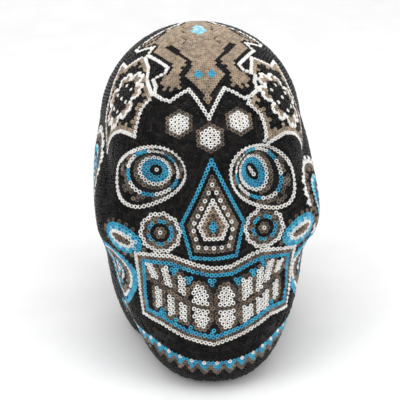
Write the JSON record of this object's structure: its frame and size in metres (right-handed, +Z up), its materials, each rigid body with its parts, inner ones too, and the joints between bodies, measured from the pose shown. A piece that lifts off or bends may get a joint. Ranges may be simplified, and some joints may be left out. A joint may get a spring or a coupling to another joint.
{
  "type": "beaded skull",
  "caption": "Free-standing hollow skull whose whole outside is covered in seed-bead fields of folk-craft motifs set in wax; a display piece.",
  "frame": {"origin": "on the table, under the middle of the skull's bounding box", "axes": "+Z up to the crown, -Y out of the face, +X to the skull's own left"},
  "size_m": [0.107, 0.1482, 0.1507],
  "materials": {
    "base_card": "raw grey-brown card",
    "black_beads": "opaque glossy seed beads",
    "bronze_beads": "translucent bronze-brown seed beads",
    "dark_wax": "dull dark wax and resin mix",
    "paper_tape": "pasted paper strip",
    "pulp_form": "rough layered paper pulp",
    "tan_beads": "opaque glossy seed beads",
    "turquoise_beads": "opaque glossy seed beads",
    "white_beads": "opaque glossy seed beads"
  },
  "bodies": {
    "root": {"back_flower": "turquoise_beads", "back_flower_edge": "white_beads", "base_plate": "base_card", "cheek_flower_left": "bronze_beads", "cheek_flower_right": "bronze_beads", "cheekbone_flower_left": "turquoise_beads", "cheekbone_flower_right": "turquoise_beads", "eye_dashed_ring_left": "turquoise_beads", "eye_dashed_ring_right": "turquoise_beads", "eye_iris_left": "bronze_beads", "eye_iris_right": "bronze_beads", "eye_pupil_left": "white_beads", "eye_pupil_right": "white_beads", "eye_rim_left": "white_beads", "eye_rim_right": "white_beads", "eye_socket_band_left": "black_beads", "eye_socket_band_right": "black_beads", "forehead_dot_left": "white_beads", "forehead_dot_middle": "white_beads", "forehead_dot_right": "white_beads", "form_back_half": "pulp_form", "form_face_half": "pulp_form", "ground_back": "black_beads", "ground_face": "black_beads", "gum_panel": "turquoise_beads", "jaw_edge_band": "turquoise_beads", "jaw_oval_left": "turquoise_beads", "jaw_oval_right": "turquoise_beads", "lizard_body": "tan_beads", "lizard_crest_diamond": "turquoise_beads", "lizard_outline": "white_beads", "mouth_border": "white_beads", "nose_drop": "tan_beads", "nose_drop_outline": "white_beads", "nose_outline": "turquoise_beads", "nose_panel": "bronze_beads", "seam_tape": "paper_tape", "temple_flower_edge_left": "white_beads", "temple_flower_edge_right": "white_beads", "temple_flower_left": "black_beads", "temple_flower_right": "black_beads", "tooth_lower_1": "white_beads", "tooth_lower_2": "white_beads", "tooth_lower_3": "white_beads", "tooth_lower_4": "white_beads", "tooth_lower_5": "white_beads", "tooth_lower_6": "white_beads", "tooth_lower_7": "white_beads", "tooth_lower_8": "white_beads", "tooth_lower_9": "white_beads", "tooth_upper_1": "white_beads", "tooth_upper_2": "white_beads", "tooth_upper_3": "white_beads", "tooth_upper_4": "white_beads", "tooth_upper_5": "white_beads", "tooth_upper_6": "white_beads", "tooth_upper_7": "white_beads", "tooth_upper_8": "white_beads", "tooth_upper_9": "white_beads", "wax_coat": "dark_wax"}
  },
  "joints": []
}
